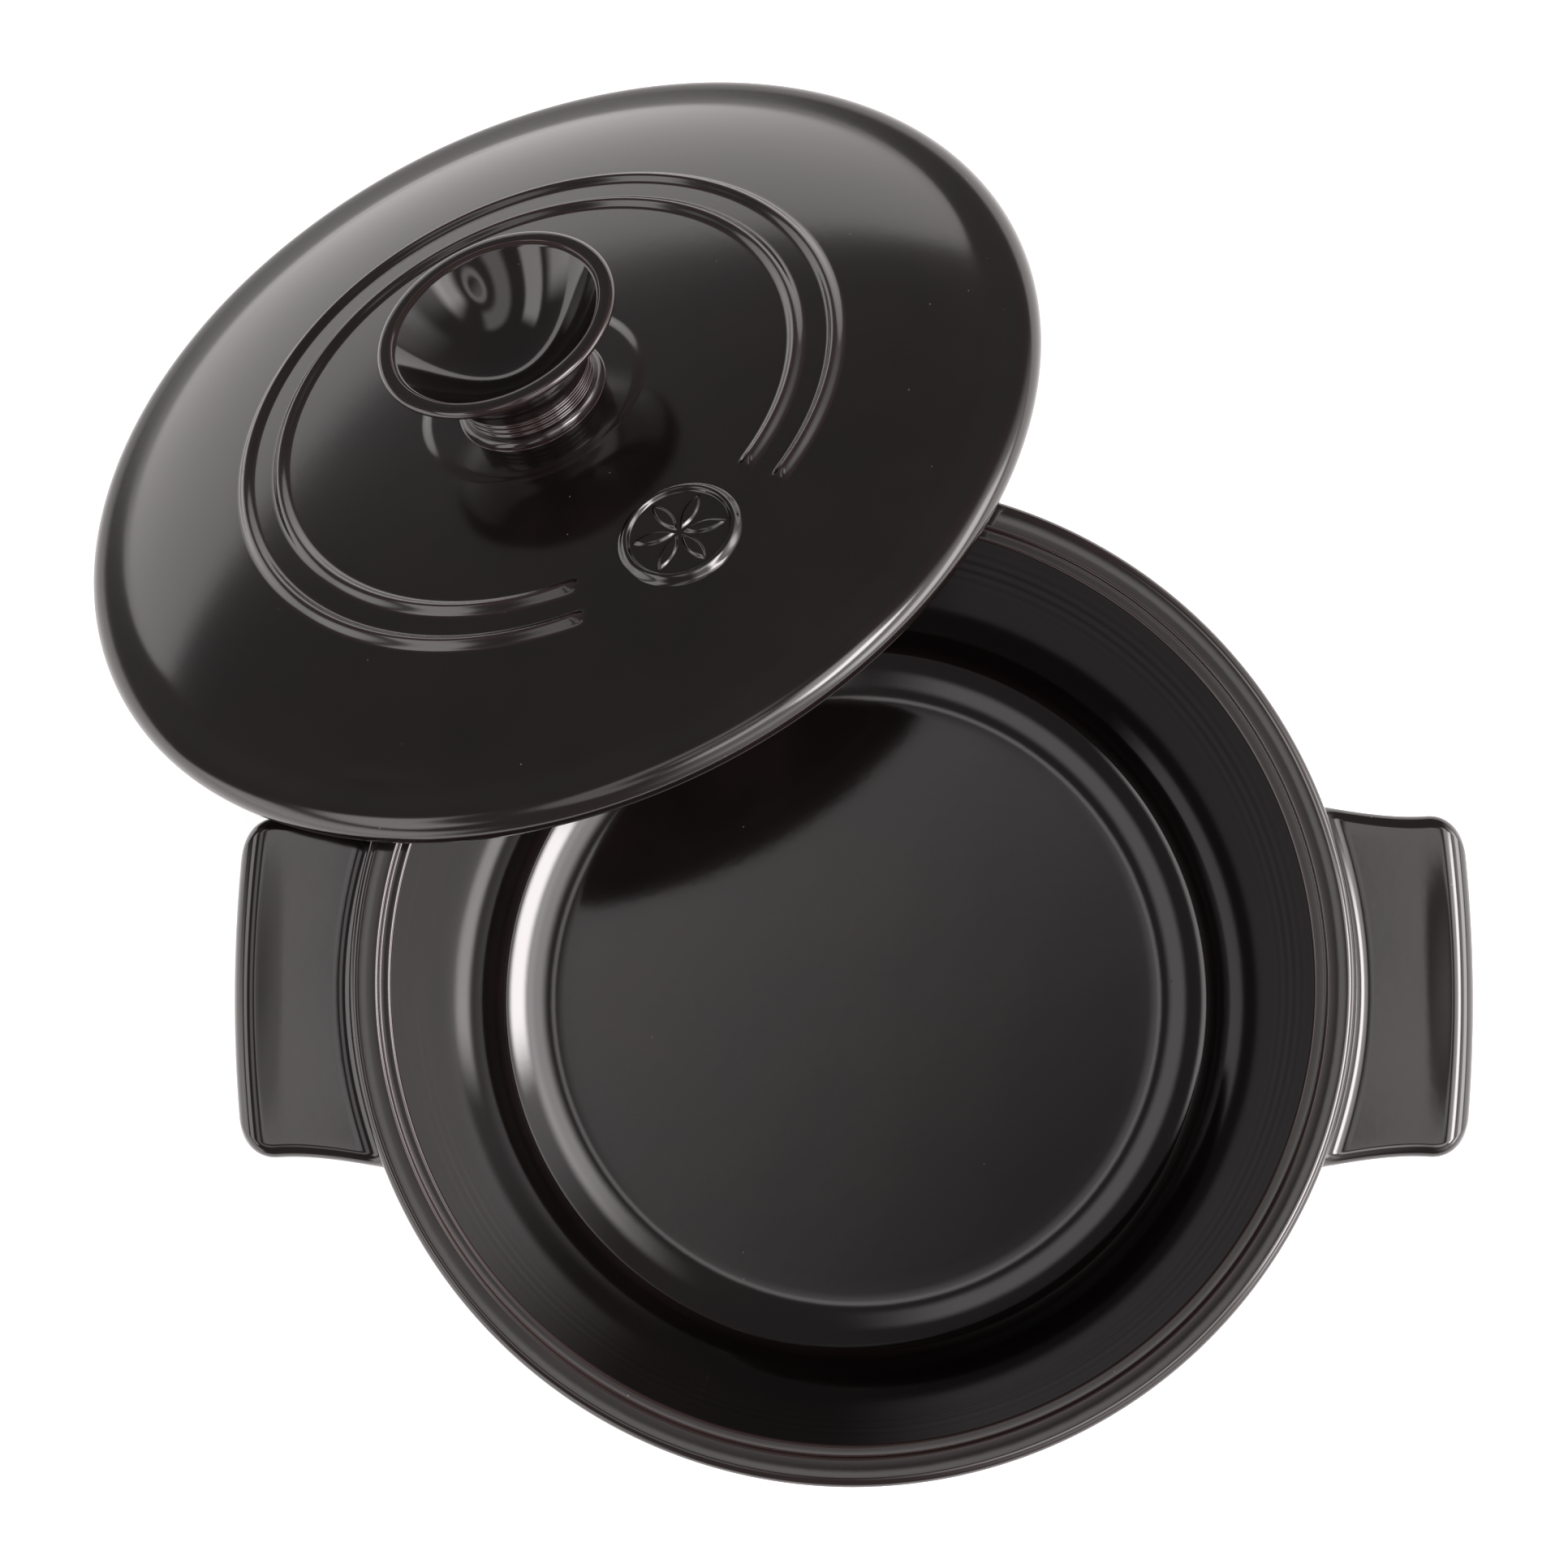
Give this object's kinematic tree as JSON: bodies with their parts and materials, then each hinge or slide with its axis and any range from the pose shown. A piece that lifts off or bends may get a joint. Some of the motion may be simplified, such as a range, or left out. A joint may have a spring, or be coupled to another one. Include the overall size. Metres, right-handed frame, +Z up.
{
  "type": "covered casserole dish",
  "caption": "Round glazed stoneware casserole with side lug handles; its domed lid with a hollow knob leans off the pot, and lifts away.",
  "frame": {"origin": "centre of the pot's flat base, on the surface that it stands on", "axes": "+Z up; the two lug handles lie along X; +Y points away from the cook, to the side where the lid leans"},
  "size_m": [0.3556, 0.3739, 0.17],
  "materials": {
    "glaze": "gloss"
  },
  "bodies": {
    "pot": {"vessel": "glaze", "handle_left": "glaze", "handle_right": "glaze"},
    "lid": {"lid_plate": "glaze", "lid_knob": "glaze", "lid_medallion": "glaze"}
  },
  "joints": [
    {"name": "lid_lift", "type": "slide", "parent": "pot", "child": "lid", "axis": [0, 0, 1], "range_m": [0, 0.16]}
  ]
}
